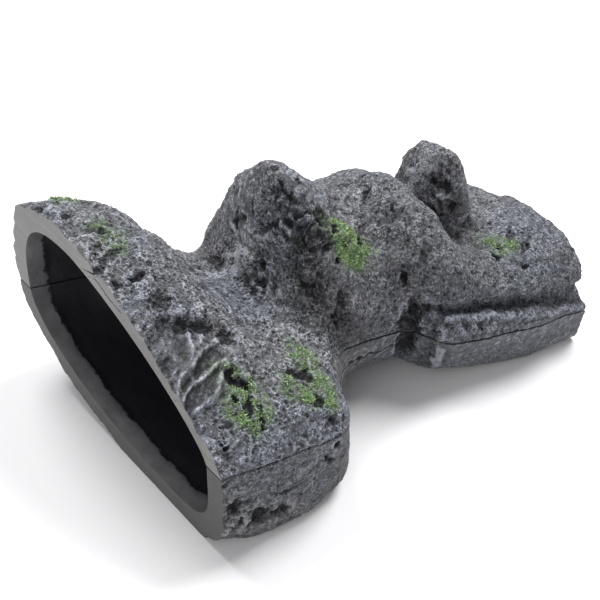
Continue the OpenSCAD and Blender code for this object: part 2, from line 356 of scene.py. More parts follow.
# Where the black undercoat shows, and painted shade on shaded faces and in recesses: along, round, reach
# along, reach round, share.
BLACK_AND_SHADE_SPOTS = {
    UPPER: [
        (6, 52, 4, 5, 0.7), (11, 38, 3.4, 5, 0.6), (5, 24, 4, 6, 0.35), (24, 52, 2.2, 2.6, 0.7),
        (58, 88, 2.4, 2.2, 0.9), (52, 101, 2, 2.4, 0.7), (56, 80, 1.6, 2.4, 0.8),
        (61, 111, 1.6, 4.4, 1), (9, 57, 4.5, 2.8, 0.9), (14, 54, 4.5, 2.8, 0.95),
        (20, 51, 4, 3.2, 0.95), (25, 44, 3, 4.2, 0.95), (12, 69, 4, 4, 0.55),
        (4, 86, 2.4, 2.4, 1), (12, 87, 4, 2, 0.9), (9, 113, 3.5, 2.2, 0.8),
        (6, 124, 2.4, 3, 0.9), (2, 135, 2.4, 3.4, 0.8), (65, 75, 6.5, 6, 1.1),
        (65, 63, 6.5, 8, 1.2), (71, 62, 4, 6, 1), (64, 49, 6, 8, 1.2), (64, 36, 5.5, 8, 1.1),
        (71, 31, 4, 6, 0.9), (68, 23, 5.5, 7, 1.1), (72, 11, 4, 5, 0.8), (61, 112, 4.6, 2.2, 1),
        (66, 84, 5, 4, 0.4), (58, 84, 2, 2.2, 0.9), (52, 90, 1.8, 3, 0.8),
        (125, 73, 2.8, 4.4, 0.9), (127, 64, 3, 5, 0.9), (99, 31, 1.4, 2.6, 0.9),
        (99, 5, 3.6, 8, 0.95), (102, 14, 3, 3, 0.8), (147, 40, 5, 5, 0.35),
        (141, 27, 1.2, 1.6, 0.6), (43, 5, 2.4, 2.6, 0.7), (40, 18, 3, 4, 0.4),
        (138, 59, 5, 3, 0.4), (30, 150, 5, 9, 0.6), (52, 140, 4, 10, 0.7), (118, 150, 5, 9, 0.6),
        (88, 150, 4, 10, 0.5), (146, 130, 5, 9, 0.5)],
    LOWER: [
        (42, -4, 1.6, 1.6, 1.2), (39, -8, 1, 3, 0.8), (13, -20, 4.4, 2.9, 1.1),
        (20, -21, 3.6, 2.4, 1), (4, -13, 2.4, 2.9, 1), (99, -7, 4, 8, 0.95),
        (78, -11, 20, 0.9, 0.7), (24, -14, 6, 1, 0.4), (30, -158, 6, 6, 0.8),
        (95, -155, 9, 5, 0.7)]}

# The tables below are for the upper casting alone.
# Painted light: where the dry-brush is heavier on faces that the light falls on: along, round, reach
# along, reach round, share.
LIT_PALE_SPOTS = [
    (59, 105, 6, 9, 0.7), (56, 117, 7, 6, 0.6), (49, 124, 6, 6, 0.5), (60, 90, 3, 5, 0.4),
    (122, 86, 6, 5, 0.7), (124, 82, 5, 4, 0.5), (10, 66, 3, 3, 0.4), (22, 62, 4, 3, 0.5),
    (130, 84, 6, 5, 0.3)]
# The smooth fracture faces: along, round, reach along, reach round.
SMOOTH = [
    (9, 27, 6, 7), (62, 108, 12, 9), (70, 105, 7, 7), (64, 74, 5, 6), (125, 70, 3, 6),
    (20, 158, 12, 9), (135, 150, 10, 8)]
# Clefts, carved in and given painted shade, where the flock did not take: along, round, reach along,
# reach round, turn.
SHADED_CLEFTS = [
    (18, 27, 1.3, 3, 0), (20, 23, 1.4, 2.4, 20), (18, 17, 1.5, 3.2, -30),
    (20, 13, 0.9, 3.4, -30), (15, 20, 0.8, 1.4, 0), (44, 18, 1.6, 2.6, 0), (41, 20, 2.2, 1.8, 0),
    (41, 11, 1.8, 2, 20), (87, 53, 1.2, 1.8, 0), (79, 53, 0.8, 1.8, 20), (74, 49, 1.2, 0.8, 0),
    (74, 65, 2.6, 3.2, 0), (77, 60, 1.6, 1.2, 20), (138, 38, 0.8, 1.7, 0),
    (133, 35, 0.7, 2, 10), (12, 111, 1.6, 0.9, 0), (30, 150, 2, 3, 20), (121, 147, 2, 3, -20)]
# Ground that the flock never reached: along, round, reach along, reach round.
BARE = [(26, 17, 5, 8), (33, 26, 3, 6)]


# --- the carved rock surface ---
DEEPEST, HIGHEST = -3.6, 1.7     # limits of the carving
SET_IN = 0.1                     # the carved rock lies this much inside the cast surface


class Warps:
    """Slow wandering fields, in millimetres, that bend the patterns and the outlines of spots."""

    def __init__(self, g):
        self.slow = np.stack([fbm(g / 9, 31), fbm(g / 9, 37), fbm(g / 9, 41)], 1)
        self.quick = np.stack([noise(g / 2.4, 91), noise(g / 2.4, 93), noise(g / 2.4, 95)], 1)
        self.outline = (2.0 * self.slow[:, 0], 2.0 * self.slow[:, 1])
        self.ragged = tuple(0.8 * fbm(g / 2.6, seed, 2)
                            + 0.8 * facets(g + 0.6 * self.quick, 2.4, facet_seed, 40)
                            for seed, facet_seed in ((161, 211), (163, 217)))


def network(q, size, seed):
    """Foam of small pits with thin worm-like ridges between them: about -0.6 to 0.5."""
    near, second = cells(q / size, seed)
    ridge = 1 - ramp(second - near, 0.0, 0.36)
    bowl = ramp(near, 0.05, 0.62)
    return 0.5 * ridge + 0.62 * bowl - 0.68


def smoothness(at, side, warps, off_joint):
    """1 on the smooth fracture faces, 0 on the crinkled rock."""
    if side == UPPER:
        smooth = np.zeros(len(at.g))
        for x, a, reach_x, reach_a in SMOOTH:
            smooth = np.maximum(smooth, at.spot(x, a, reach_x, reach_a, 0, warps.outline))
        return smooth
    smooth = (0.42 + 0.5 * fbm(at.g / 14, 71)) * (0.45 + 0.55 * ramp(at.x, 45, 58))
    slab = ramp(at.x, 104, 109) * (1 - ramp(off_joint + 0.8 * warps.slow[:, 2], 6.0, 8.5))
    waist = ramp(at.x, 54, 60) * (1 - ramp(at.x, 95, 99))
    return np.maximum(smooth, 0.95 * np.maximum(waist, slab))


def chips(at, warps):
    """The chipped faces behind the rim: the share of each point, and their slanting crests."""
    u, v, w = at.local(8, 34, 42)
    share = np.exp(-((u / 17) ** 2 + (v / 15) ** 2 + (w / 13) ** 2) ** 3)
    share *= 1 - ramp(at.x + 3 * warps.slow[:, 0], 19, 23)
    drawn = np.stack([u / 14, v / 5.0 + 0.02 * u, w / 12], 1) + 0.08 * warps.slow
    crest = np.clip(1 - 4.4 * np.abs(noise(drawn, 197)), -0.6, 1)
    finer = np.clip(1 - 4 * np.abs(noise(2.3 * drawn, 203)), -0.6, 1)
    return share, 0.8 * crest + 0.2 * finer


def crinkle(at, side, warps, smooth):
    """The fine relief, and the share of each point in the ground behind the first hump."""
    g, slow, quick = at.g, warps.slow, warps.quick
    # open foam on the front block and the saddle, short upright strokes behind
    behind = ramp(at.x + 6 * slow[:, 0], 66, 82)
    foam = network(g + 0.9 * quick, 1.95, 101)
    strokes = network(g * np.array([1.15, 0.85, 0.62]) + 0.8 * quick, 1.5, 107)
    worm = ridged((g * np.array([1.1, 0.9, 0.7]) + 0.8 * quick) / 2.7, 111, 2, 0.6)
    patchy = np.clip(0.85 + 0.5 * fbm(g / 11, 121, 2), 0.35, 1.2)
    rough = ((0.54 * foam) * (1 - behind) + (0.44 * strokes) * behind + 0.13 * worm) * patchy
    fine = 0.08 * ridged(g / 1.5, 131, 1)
    crumb = rough * (1 - 0.88 * smooth) + fine * (1 - 0.3 * smooth)
    if side == LOWER:
        streak = ridged(np.stack([g[:, 0] / 7, g[:, 1] / 3, g[:, 2] / 2.2], 1) + 0.5 * slow, 141, 2)
        return 0.8 * crumb + 0.12 * streak, behind
    slant = np.stack([(g[:, 0] - 0.5 * g[:, 2]) / 2.6, g[:, 1] / 7, (g[:, 2] + 0.5 * g[:, 0]) / 7], 1)
    lines = ridged(slant + 0.4 * slow, 151, 2)
    return crumb + 0.2 * smooth * lines, behind


def placed_relief(at, side, warps):
    """The hollows, lumps and broken ground that have a place of their own."""
    height = np.zeros(len(at.g))
    for x, a, reach_x, reach_a, turn, high in HEIGHTS[side]:
        height += high * at.spot(x, a, reach_x, reach_a, turn, warps.ragged)
    crag = 0.55 - 1.5 * np.abs(facets(at.g + 0.9 * warps.quick, 4.4, 23, 30))
    crag = crag + 0.45 * facets(at.g + 0.6 * warps.quick, 2.4, 29, 30)
    for x, a, reach_x, reach_a, depth in BROKEN[side]:
        height += depth * crag * at.spot(x, a, reach_x, reach_a, 0, warps.outline, 1.4)
    return height


def ledge(at, warps):
    """The groove above the ledge of the back block and the ledge's lip: height, and the groove."""
    x, g = at.x, at.g
    reach = np.hypot(g[:, 1] - mid_y(g[:, 0]), g[:, 2] - joint(g[:, 0]))
    above = np.radians(at.angle - 17 + 0.19 * (x - 102)) * reach + 0.8 * warps.slow[:, 1]
    run_in = ramp(x, 99, 105)
    groove = run_in * np.exp(-(above / 1.5) ** 2)
    return 0.7 * run_in * np.exp(-((above + 2.8) / 1.3) ** 2) - 1.2 * groove, groove


def black_and_shade(at, side, warps, dark):
    """Adds the black places, undercoat and painted shade both, to the share of black that shows."""
    for x, a, reach_x, reach_a, share in BLACK_AND_SHADE_SPOTS[side]:
        small = min(reach_x, reach_a) < 3
        warp, power = (warps.ragged, 3.0) if small else (warps.outline, 1.4)
        spot = at.spot(x, a, reach_x * 1.1, reach_a * 1.1, 0, warp, power)
        dark = np.maximum(dark, share * spot)
    return dark


def carve(at, side):
    """Height of the carving over the smooth surface, and the paint masks, at each point."""
    g, x = at.g, at.x
    warps = Warps(g)
    off_joint = np.abs(g[:, 2] - joint(g[:, 0]))
    smooth = smoothness(at, side, warps, off_joint)
    chip, crest = chips(at, warps) if side == UPPER else (np.zeros(len(g)), np.zeros(len(g)))
    smooth = np.clip(np.maximum(smooth, 0.9 * chip), 0, 1)
    # coarse planes and folds
    rough = (1.0 if side == UPPER else 0.5) * (1 - 0.35 * ramp(x, 95, 115))
    plane = facets(g + 3.0 * warps.slow, 17, 3) * 1.1 + facets(g + 1.6 * warps.slow, 8.5, 9) * 0.6
    fold = 0.42 * fbm(g / 7, 51, 3)
    coarse = rough * (plane + fold) * (1 - 0.4 * smooth)
    if side == UPPER:
        scallop = -1.25 * np.abs(facets(g * np.array([0.8, 1, 1]) + 2 * warps.slow, 7.0, 19, 24)) + 0.35
        coarse = coarse + (smooth - chip) * scallop + chip * (0.95 * crest - 1.5)
    # strata: long shallow steps that run with the tunnel
    tilt = g[:, 2] + 0.25 * g[:, 0] + 5 * warps.slow[:, 1]
    strata = 0.16 * ridged(np.stack([g[:, 0] / 16, g[:, 1] / 16, tilt / 4.2], 1), 61, 2)
    crumb, behind = crinkle(at, side, warps, smooth)
    placed = placed_relief(at, side, warps)
    dark = np.zeros(len(g))
    if side == UPPER:
        height, groove = ledge(at, warps)
        placed += height
        # painted shade: the groove above the ledge and the chipped faces behind the rim are painted
        # dark, with paler crests as painted highlight
        dark = np.maximum(0.55 * groove, chip * (0.72 - 0.34 * crest))
    # painted shade: shaded faces and recesses are painted black along with the undercoat spots
    dark = black_and_shade(at, side, warps, dark)
    if side == UPPER:
        # painted shade in the clefts, which are also carved in
        for along, a, reach_x, reach_a, turn in SHADED_CLEFTS:
            cleft = at.spot(along, a, 1.2 * reach_x, 1.2 * reach_a, turn, warps.ragged, 3.0)
            dark = np.maximum(dark, 1.2 * cleft)
            placed -= 1.7 * cleft
        # painted light: a heavier dry-brush on the lit faces
        for along, a, reach_x, reach_a, share in LIT_PALE_SPOTS:
            pale = at.spot(along, a, reach_x, reach_a, 0, warps.outline, 1.4)
            dark = dark - share * pale * (1 - np.clip(dark, 0, 1))
    # the rim's uneven edge
    placed += 0.7 * np.exp(-(x / 5) ** 2) * fbm(g / 4.5, 223, 2)
    high = coarse + strata * rough + crumb * (1 + 0.35 * np.clip(dark, 0, 1)) + placed
    high = np.clip(high, DEEPEST, HIGHEST) - SET_IN
    # shallower towards the joint
    edge = ramp(off_joint, 0.0, 3.0)
    high = high * (0.45 + 0.55 * edge)
    high = np.where(off_joint < 3.0, np.maximum(high, -0.7 - 3.2 * edge), high)
    return high, behind, dark, smooth


# --- meshes of the castings ---
def outer_skin(g, n, high, side):
    """The carved rock face; near the joint and the mouths points move within those planes."""
    across = np.array([(Z_FRONT - Z_BACK) / (X1 - X0), 0, 1.0])
    across /= np.linalg.norm(across)
    off = np.abs(g[:, :, 2] - joint(g[:, :, 0]))
    keep = ramp(off, 0.0, 4.0)[:, :, None]
    n = n - (1 - keep) * (n @ across)[:, :, None] * across
    mouth = np.minimum(g[:, :, 0] - X0, X1 - g[:, :, 0])
    n[:, :, 0] *= ramp(mouth, 0.0, 4.0)
    n /= np.linalg.norm(n, axis=2, keepdims=True) + 1e-9
    out = g + n * high[:, :, None]
    out[0, :, 0], out[-1, :, 0] = X0, X1
    # rounded arris along the joint
    lift = side * GAP
    for j, inward in ((0, 0.35), (out.shape[1] - 1, -0.35)):
        out[:, j, 2] = joint(out[:, j, 0]) + lift
        out[:, j, 1] += inward
    limit = (joint(out[:, :, 0]) + lift + side * 0.02)[:, 1:-1]
    inner = out[:, 1:-1, 2]
    out[:, 1:-1, 2] = np.maximum(inner, limit) if side == UPPER else np.minimum(inner, limit)
    if side == LOWER:
        out[:, :, 2] = np.maximum(out[:, :, 2], 0.0)
    return out


def bore_skin(tree, side, n_x, n_t):
    """The smooth bore, with a small step where the bare lip ends and the painted shade inside begins."""
    h, _ = base_grid(tree, side, n_x, n_t, False)
    m = grid_normals(h, side == UPPER)
    points = h.reshape(-1, 3)
    wave = 0.35 * fbm(points / 6, 171, 2).reshape(n_x, n_t)
    lip = np.minimum(h[:, :, 0] - X0, X1 - h[:, :, 0])
    jag = 6.5 + 1.6 * fbm(points / 5, 181, 3).reshape(n_x, n_t) + 5.5 * ramp(-h[:, :, 1], 36, 54)
    step = ramp(lip, jag - 0.6, jag + 0.6)
    clear = ramp(np.abs(h[:, :, 2] - joint(h[:, :, 0])), 0.5, 5)
    push = (wave * clear - 0.7 * step * (0.3 + 0.7 * clear)) * ramp(lip, 0, 2)
    h = h + m * push[:, :, None] * np.array([0, 1, 1])
    h[0, :, 0], h[-1, :, 0] = X0, X1
    lift = side * GAP
    for j in (0, n_t - 1):
        h[:, j, 2] = joint(h[:, j, 0]) + lift
    cap = joint(h[:, :, 0]) + lift
    h[:, :, 2] = np.maximum(h[:, :, 2], cap) if side == UPPER else np.minimum(h[:, :, 2], cap)
    return h


ROCK, SAWN, BORE = 0, 1, 2       # material slots of a casting


class Skin:
    """Faces over grids of numbered points, each with its material slot."""

    def __init__(self):
        self.faces, self.slots = [], []

    def sheet(self, number, flip, slot):
        a, b = number[:-1, :-1].ravel(), number[1:, :-1].ravel()
        c, d = number[1:, 1:].ravel(), number[:-1, 1:].ravel()
        quad = np.stack([a, b, c, d], 1)
        self.faces.extend((quad[:, ::-1] if flip else quad).tolist())
        self.slots.extend([slot] * len(quad))

    def strip(self, a, b, flip, slot):
        """Joins two rows of points of different counts by the nearer diagonal."""
        a, b = a.tolist(), b.tolist()
        i, j = 0, 0
        pa, pb = np.linspace(0, 1, len(a)), np.linspace(0, 1, len(b))
        while i < len(a) - 1 or j < len(b) - 1:
            if j == len(b) - 1 or (i < len(a) - 1 and pa[i + 1] <= pb[j + 1]):
                f = (a[i], a[i + 1], b[j])
                i += 1
            else:
                f = (a[i], b[j + 1], b[j])
                j += 1
            self.faces.append(f[::-1] if flip else f)
            self.slots.append(slot)


def give(me, label, values):
    """Writes one number to each point of a mesh."""
    me.attributes.new(label, "FLOAT", "POINT").data.foreach_set("value", values.astype(np.float32))


def shell_mesh(name, tree, side, n_x, n_t, in_x, in_t):
    """A casting's mesh, its outer points, and the carving's height, black share and angles."""
    g, angle = base_grid(tree, side, n_x, n_t, True)
    n = grid_normals(g, side == LOWER)
    high, behind, dark, smooth = carve(
        Surface(g.reshape(-1, 3), n.reshape(-1, 3), angle.reshape(-1)), side)
    high = high.reshape(n_x, n_t)
    out = outer_skin(g, n, high, side)
    bore = bore_skin(tree, side, in_x, in_t)

    up = side == UPPER
    o = np.arange(n_x * n_t).reshape(n_x, n_t)
    q = n_x * n_t + np.arange(in_x * in_t).reshape(in_x, in_t)
    skin = Skin()
    skin.sheet(o, not up, ROCK)
    skin.sheet(q, up, BORE)
    skin.strip(o[0], q[0], not up, SAWN)
    skin.strip(o[-1], q[-1], up, SAWN)
    skin.strip(o[:, 0], q[:, 0], up, BORE)
    skin.strip(o[:, -1], q[:, -1], not up, BORE)

    me = bpy.data.meshes.new(name)
    co = np.vstack([out.reshape(-1, 3), bore.reshape(-1, 3)])
    me.from_pydata((co / MM).tolist(), [], skin.faces)
    me.polygons.foreach_set("material_index", skin.slots)
    me.update()
    # paint masks: how proud each point stands of its surroundings, near and wide
    proud = (high - blurred(blurred(high, 2.2, 0), 2.2, 1)) / 0.3
    wide = (high - blurred(blurred(high, 9, 0), 9, 1)) / 1.2
    rest = np.zeros(in_x * in_t)
    for label, values in (("proud", proud.ravel()), ("wide", wide.ravel()), ("dark", dark),
                          ("smooth", smooth), ("body", behind)):
        give(me, label, np.concatenate([values, rest]))
    return me, out, high, dark, angle


# --- node helpers ---
class Nodes:
    """A material's node tree; the methods add nodes and return the socket that carries on."""

    def __init__(self, name):
        self.mat = bpy.data.materials.new(name)
        self.mat.use_nodes = True
        self.t = self.mat.node_tree
        self.t.nodes.clear()
        out = self.t.nodes.new("ShaderNodeOutputMaterial")
        self.bsdf = self.t.nodes.new("ShaderNodeBsdfPrincipled")
        self.t.links.new(self.bsdf.outputs[0], out.inputs[0])
        self.pos = self.t.nodes.new("ShaderNodeTexCoord").outputs["Object"]

    def put(self, socket, value):
        if isinstance(value, bpy.types.NodeSocket):
            self.t.links.new(value, socket)
        else:
            socket.default_value = value

    def node(self, kind, out=0, props=None, **ins):
        n = self.t.nodes.new(kind)
        for k, v in (props or {}).items():
            setattr(n, k, v)
        for k, v in ins.items():
            self.put(n.inputs[k.replace("_", " ")], v)
        return n.outputs[out]

    def math(self, op, a, b=0.0, c=0.0, clamp=False):
        n = self.t.nodes.new("ShaderNodeMath")
        n.operation = op
        n.use_clamp = clamp
        for s, v in zip(n.inputs, (a, b, c)):
            self.put(s, v)
        return n.outputs[0]

    def times(self, a, b):
        return self.math("MULTIPLY", a, b)

    def less(self, a, b):
        return self.math("SUBTRACT", a, b)

    def add_to(self, total, value, weight):
        """The total plus the weighted value."""
        return self.math("MULTIPLY_ADD", value, weight, total)

    def blend(self, share, a, b):
        """Number a where the share is 0, b where it is 1."""
        return self.math("ADD", self.times(a, self.less(1.0, share)), self.times(b, share))

    def vector(self, op, *values):
        n = self.t.nodes.new("ShaderNodeVectorMath")
        n.operation = op
        for s, v in zip(n.inputs, values):
            self.put(s, v)
        return n.outputs["Value" if op == "DOT_PRODUCT" else "Vector"]

    def scaled(self, scale):
        return self.node("ShaderNodeMapping", Vector=self.pos, Scale=scale)

    def stretched(self, way, share):
        """Coordinates squeezed along one direction, so that a texture runs that way."""
        squeeze = tuple(-(1 - share) * c for c in way)
        return self.vector("MULTIPLY_ADD", self.vector("DOT_PRODUCT", self.pos, way), squeeze, self.pos)

    def warped(self, scale, reach, vec=None):
        """Coordinates pushed about by noise, up to half the reach each way."""
        vec = vec or self.pos
        push = self.node("ShaderNodeTexNoise", out="Color", Vector=vec, Scale=scale, Detail=1.0)
        return self.vector("MULTIPLY_ADD", push, (reach, reach, reach), vec)

    def noise(self, scale, detail=3.0, rough=0.55, vec=None, warp=0.0):
        return self.node("ShaderNodeTexNoise", Vector=vec or self.pos, Scale=scale, Detail=detail,
                         Roughness=rough, Distortion=warp)

    def foam(self, scale, vec):
        """Distance to the nearest wall between the cells of a foam."""
        return self.node("ShaderNodeTexVoronoi", props={"feature": "DISTANCE_TO_EDGE"},
                         Vector=vec, Scale=scale)

    def line(self, noise, width):
        """1 on the line where a noise passes through its middle, 0 beyond the width."""
        return self.map(self.math("ABSOLUTE", self.less(noise, 0.5)), 0.0, width, 1.0, 0.0)

    def map(self, v, a, b, lo=0.0, hi=1.0, smooth=True):
        n = self.t.nodes.new("ShaderNodeMapRange")
        n.interpolation_type = "SMOOTHSTEP" if smooth else "LINEAR"
        for s, x in zip(n.inputs, (v, a, b, lo, hi)):
            self.put(s, x)
        return n.outputs[0]

    def mix(self, f, a, b, blend="MIX"):
        n = self.t.nodes.new("ShaderNodeMix")
        n.data_type = "RGBA"
        n.blend_type = blend
        for socket, value in ((6, a), (7, b)):
            self.put(n.inputs[socket], value if isinstance(value, bpy.types.NodeSocket) else (*value, 1))
        self.put(n.inputs[0], f)
        return n.outputs[2]

    def attr(self, name):
        return self.node("ShaderNodeAttribute", out="Fac", props={"attribute_name": name})

    def bump(self, height, distance, strength):
        return self.node("ShaderNodeBump", Height=height, Distance=distance, Strength=strength)

    def finish(self, colour, rough, normal=None, **fixed):
        self.put(self.bsdf.inputs["Base Color"], colour)
        self.put(self.bsdf.inputs["Roughness"], rough)
        if normal:
            self.put(self.bsdf.inputs["Normal"], normal)
        for k, v in fixed.items():
            self.bsdf.inputs[k.replace("_", " ")].default_value = v
        return self.mat


# --- materials: scales are per metre, distances and bump heights in metres ---
# near black: the undercoat in the pits, also the colour of the painted shade
BLACK_UNDERCOAT_AND_SHADE = (0.011, 0.0115, 0.0135)
BODY_COAT = {UPPER: (0.086, 0.088, 0.095), LOWER: (0.082, 0.083, 0.087)}
DRY_BRUSH = {UPPER: (0.40, 0.41, 0.445), LOWER: (0.30, 0.305, 0.32)}
LIGHTER = {UPPER: 0.035, LOWER: 0.08}      # added to the share of dry-brush
FAINT_TINTS = (0.99, 0.985, 0.995), (0.94, 0.97, 1.05)
DUST = (0.012, 0.026, 0.008), (0.20, 0.33, 0.11)
STROKE_WAY = (0.55, -0.50, 0.67)           # the brush strokes behind the first hump
STREAK_WAY = (0.71, 0.43, 0.56)            # the streaks on the smooth faces


def rock_material(name, side):
    """Black undercoat in the pits and painted shade, grey body coat, and a pale dry-brush on what stands
    proud, with painted light on lit faces.
    """
    m = Nodes(name)
    proud, wide, dark, smooth = m.attr("proud"), m.attr("wide"), m.attr("dark"), m.attr("smooth")
    crinkled = m.math("SUBTRACT", 1.0, smooth, clamp=True)
    behind = m.attr("body")
    grain = m.noise(1500, 2, 0.6)
    crumb = m.noise(640, 3, 0.62, warp=0.3)
    blotch = m.noise(75, 3, 0.55)
    # thin ridges round little pits: open foam in front, short upright strokes behind
    web = m.blend(behind, m.foam(640.0, m.warped(700, 0.0013)),
                  m.foam(860.0, m.warped(900, 0.0012, m.scaled((1.15, 0.85, 0.55)))))
    ridge = m.map(web, 0.02, 0.17, 1.0, 0.0)
    pit = m.map(web, 0.24, 0.42)
    clear = m.map(m.noise(190, 2), 0.36, 0.62, 0.15, 1.0)
    webbed = m.times(crinkled, m.times(clear, m.map(behind, 0.0, 1.0, 1.35, 0.9)))
    # wandering lines
    worm = m.blend(behind, m.line(m.noise(520, 2, 0.5, warp=0.8), 0.045),
                   m.line(m.noise(900, 2, 0.5, vec=m.stretched(STROKE_WAY, 0.38), warp=0.9), 0.060))
    speck = m.map(m.noise(600, 2, 0.5, warp=0.4), 0.55, 0.66)
    streak = m.noise(620, 3, 0.6, vec=m.stretched(STREAK_WAY, 0.13), warp=0.25)
    # how heavy the dry-brush is
    clipped = m.math("MINIMUM", m.math("MAXIMUM", proud, -1.6), 1.4)
    brush = m.math("MULTIPLY_ADD", clipped, 0.13, 0.47)
    for value, weight in (
            (wide, 0.04),
            (m.times(m.less(ridge, 0.35), webbed), 0.22),
            (m.times(pit, webbed), -0.32),
            (m.times(m.less(worm, 0.35), crinkled), 0.18),
            (m.times(m.less(speck, 0.25), crinkled), -0.30),
            (m.times(proud, smooth), 0.10),
            (m.less(crumb, 0.5), 0.60),
            (m.less(grain, 0.5), 0.85),
            (m.less(blotch, 0.5), 0.28),
            (m.times(m.less(streak, 0.5), smooth), 1.2),
            # painted shade and light: the dark share darkens shaded faces, clefts and recesses, and the
            # lit spots lighten
            (dark, -0.32)):
        brush = m.add_to(brush, value, weight)
    brush = m.map(m.math("ADD", brush, LIGHTER[side]), 0.05, 1.0, smooth=False)
    colour = m.mix(m.map(brush, 0.02, 0.42), BLACK_UNDERCOAT_AND_SHADE, BODY_COAT[side])
    colour = m.mix(m.map(brush, 0.42, 1.0), colour, DRY_BRUSH[side])
    tint = m.mix(m.map(m.noise(24, 2, 0.5), 0.42, 0.62), *FAINT_TINTS)
    colour = m.mix(1.0, colour, tint, "MULTIPLY")
    if side == UPPER:
        # green dust that strays from the flock
        stray = m.times(m.attr("green"), m.map(m.noise(420, 2), 0.40, 0.62, 0.25, 1.0))
        colour = m.mix(m.times(stray, 0.6), colour, m.mix(brush, *DUST))
    height = m.math("MULTIPLY_ADD", grain, 0.30, m.times(crumb, 0.6))
    height = m.add_to(height, m.times(m.less(ridge, pit), webbed), 0.40)
    height = m.add_to(height, m.times(m.less(worm, speck), crinkled), 0.30)
    return m.finish(colour, m.map(brush, 0.0, 1.0, 0.55, 0.85), m.bump(height, 0.0008, 0.9),
                    Specular_IOR_Level=0.35)


def saw_line(m, ends):
    """A thin line on the front rim between two places, given as y and z."""
    (y0, z0), (y1, z1) = ends
    length = math.hypot(y1 - y0, z1 - z0)
    ty, tz = (y1 - y0) / length, (z1 - z0) / length
    x, y, z = [m.node("ShaderNodeSeparateXYZ", out=k, Vector=m.pos) for k in range(3)]
    dy, dz = m.less(y, y0 / MM), m.less(z, z0 / MM)
    along = m.math("ADD", m.times(dy, ty), m.times(dz, tz))
    off = m.less(m.times(dz, ty), m.times(dy, tz))
    off = m.add_to(off, m.less(m.noise(160, 2), 0.5), 0.0024)
    line = m.map(m.math("ABSOLUTE", off), 0.0002, 0.0006, 1.0, 0.0)
    line = m.times(line, m.map(along, 0.0, 0.002))
    line = m.times(line, m.map(along, (length - 2) / MM, length / MM, 1.0, 0.0))
    return m.times(line, m.map(x, 0.0, 0.001, 1.0, 0.0))


def sawn_material(name, tint, line_ends):
    """The sawn end of the casting: bare filled resin, with saw marks and pinholes."""
    m = Nodes(name)
    cloud = m.noise(45, 3, 0.55)
    fine = m.noise(1100, 2, 0.6)
    marks = m.noise(60, 3, 0.6, vec=m.scaled((1, 0.6, 9)))
    holes = m.node("ShaderNodeTexVoronoi", Vector=m.pos, Scale=420.0)
    hole = m.times(m.map(holes, 0.10, 0.17, 1.0, 0.0), m.map(m.noise(90, 2), 0.55, 0.62))
    tone = m.add_to(cloud, m.less(marks, 0.5), 0.7)
    tone = m.add_to(tone, m.less(fine, 0.5), 0.5)
    dark, pale = [tuple(c * k for c in tint) for k in (0.80, 1.22)]
    colour = m.mix(m.map(tone, 0.25, 0.75), dark, pale)
    colour = m.mix(hole, colour, (0.05, 0.05, 0.052))
    if line_ends:
        line = saw_line(m, line_ends)
        colour = m.mix(m.times(line, 0.85), colour, (0.03, 0.03, 0.032))
        hole = m.math("MAXIMUM", hole, line)
    height = m.add_to(m.add_to(marks, fine, 0.4), hole, -1.2)
    return m.finish(colour, m.map(tone, 0.2, 0.8, 0.5, 0.62), m.bump(height, 0.0003, 0.5),
                    Specular_IOR_Level=0.4)


def bore_material(name):
    """The bore: bare grey resin at the lips, then near-black painted shade deeper inside, behind a
    ragged line.
    """
    m = Nodes(name)
    x, y = [m.node("ShaderNodeSeparateXYZ", out=k, Vector=m.pos) for k in range(2)]
    inward = m.less(X1 / MM, m.math("ABSOLUTE", x))
    inward = m.add_to(inward, m.less(m.noise(170, 4, 0.6), 0.5), 0.006)
    # the bare lip is wider towards the near corner
    inward = m.less(inward, m.map(y, -0.036, -0.054, 0.0, 0.0055))
    inner_shade = m.map(inward, 0.0058, 0.0068)
    lip = m.mix(m.map(m.noise(70, 3, 0.55), 0.3, 0.7), (0.092, 0.093, 0.097), (0.150, 0.151, 0.157))
    # painted shade: the inside of the tunnel is coloured near black
    colour = m.mix(inner_shade, lip, (0.0085, 0.0085, 0.0115))
    height = m.add_to(m.noise(260, 3, 0.6), inner_shade, -1.5)
    return m.finish(colour, m.map(inner_shade, 0, 1, 0.45, 0.55), m.bump(height, 0.0005, 0.5),
                    Specular_IOR_Level=0.4)


def adhesive_material(name):
    m = Nodes(name)
    colour = m.mix(m.noise(300, 3), (0.006, 0.006, 0.007), (0.02, 0.02, 0.021))
    return m.finish(colour, m.map(m.noise(500, 2), 0.3, 0.7, 0.35, 0.6),
                    m.bump(m.noise(700, 3), 0.0003, 0.6))


def moss_material(name):
    """Dyed flock: each fibre has its own tint, darker at its root."""
    m = Nodes(name)
    tone = m.add_to(m.attr("tint"), m.less(m.noise(260, 2), 0.5), 0.7)
    colour = m.mix(m.map(tone, 0.05, 0.5), (0.026, 0.052, 0.018), (0.120, 0.215, 0.072))
    colour = m.mix(m.map(tone, 0.5, 1.0), colour, (0.36, 0.50, 0.23))
    return m.finish(colour, m.map(tone, 0, 1, 0.85, 0.7), m.bump(m.noise(1800, 2), 0.0002, 0.5),
                    Specular_IOR_Level=0.25, Sheen_Weight=0.25, Sheen_Roughness=0.6)


def floor_material(name):
    m = Nodes(name)
    colour = m.mix(m.noise(3, 2), (0.81, 0.81, 0.82), (0.84, 0.84, 0.85))
    return m.finish(colour, 0.6, Specular_IOR_Level=0.2)


